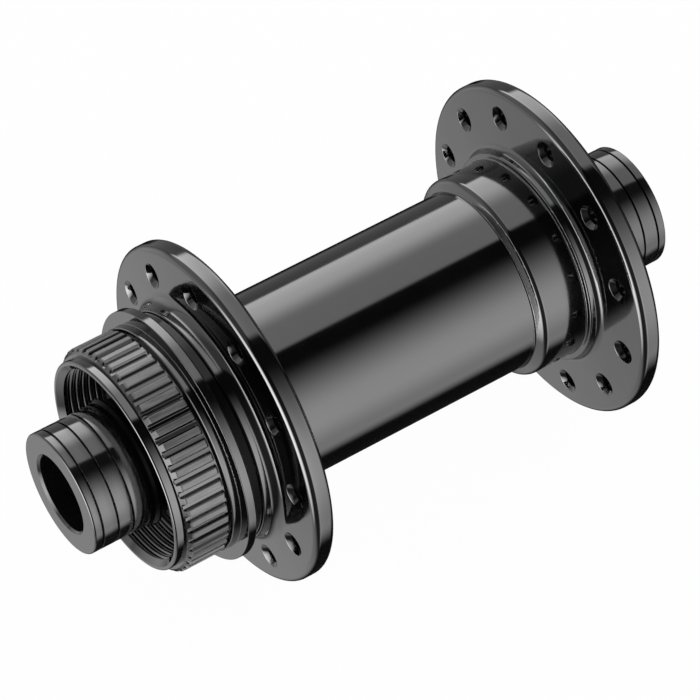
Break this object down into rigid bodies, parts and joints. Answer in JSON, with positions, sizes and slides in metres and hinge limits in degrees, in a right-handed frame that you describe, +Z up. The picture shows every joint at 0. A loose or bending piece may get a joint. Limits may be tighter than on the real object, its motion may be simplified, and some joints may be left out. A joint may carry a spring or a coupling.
{
  "type": "bicycle front hub",
  "caption": "Front wheel hub for a disc brake: barrel with two drilled spoke flanges, splined rotor boss with lockring socket, cartridge bearings, axle tube and end caps.",
  "frame": {"origin": "centre of the hub: on the axle's centre line, half way between the two outer end faces", "axes": "+Y along the axle towards the brake rotor's side (the bicycle's left), +X forward, +Z up"},
  "size_m": [0.0536, 0.1, 0.0534],
  "materials": {
    "shell_black": "polished and anodised glossy black",
    "cap_black": "turned and anodised satin black",
    "collar_black": "anodised black",
    "axle_black": "turned and anodised black",
    "bearing_steel": "ground bearing steel",
    "ball_steel": "polished bearing steel",
    "cage_plastic": "moulded nylon",
    "seal_rubber": "matt black rubber"
  },
  "bodies": {
    "axle_group": {"axle": "axle_black", "end_cap_disc_side": "cap_black", "end_cap_plain_side": "cap_black", "o_ring_disc_side": "seal_rubber", "o_ring_plain_side": "seal_rubber", "dust_collar_disc_side": "collar_black", "dust_collar_plain_side": "collar_black", "inner_race_disc_side": "bearing_steel", "inner_race_plain_side": "bearing_steel"},
    "shell_group": {"hub_shell": "shell_black", "outer_race_disc_side": "bearing_steel", "outer_race_plain_side": "bearing_steel", "outer_seal_disc_side": "seal_rubber", "inner_seal_disc_side": "seal_rubber", "outer_seal_plain_side": "seal_rubber", "inner_seal_plain_side": "seal_rubber"},
    "ball_set_disc_side": {"balls_disc_side": "ball_steel", "cage_disc_side": "cage_plastic"},
    "ball_set_plain_side": {"balls_plain_side": "ball_steel", "cage_plain_side": "cage_plastic"}
  },
  "joints": [
    {"name": "shell_spin", "type": "hinge", "parent": "axle_group", "child": "shell_group", "pos_m": [0, 0, 0], "axis": [0, 1, 0], "continuous": true},
    {"name": "ball_set_spin_disc_side", "type": "hinge", "parent": "axle_group", "child": "ball_set_disc_side", "pos_m": [0, 0.0305, 0], "axis": [0, 1, 0], "continuous": true},
    {"name": "ball_set_spin_plain_side", "type": "hinge", "parent": "axle_group", "child": "ball_set_plain_side", "pos_m": [0, -0.0341, 0], "axis": [0, 1, 0], "continuous": true}
  ],
  "couplings": [
    {"joint": "ball_set_spin_disc_side", "follows": "shell_spin", "ratio": 0.5814},
    {"joint": "ball_set_spin_plain_side", "follows": "shell_spin", "ratio": 0.5814}
  ]
}
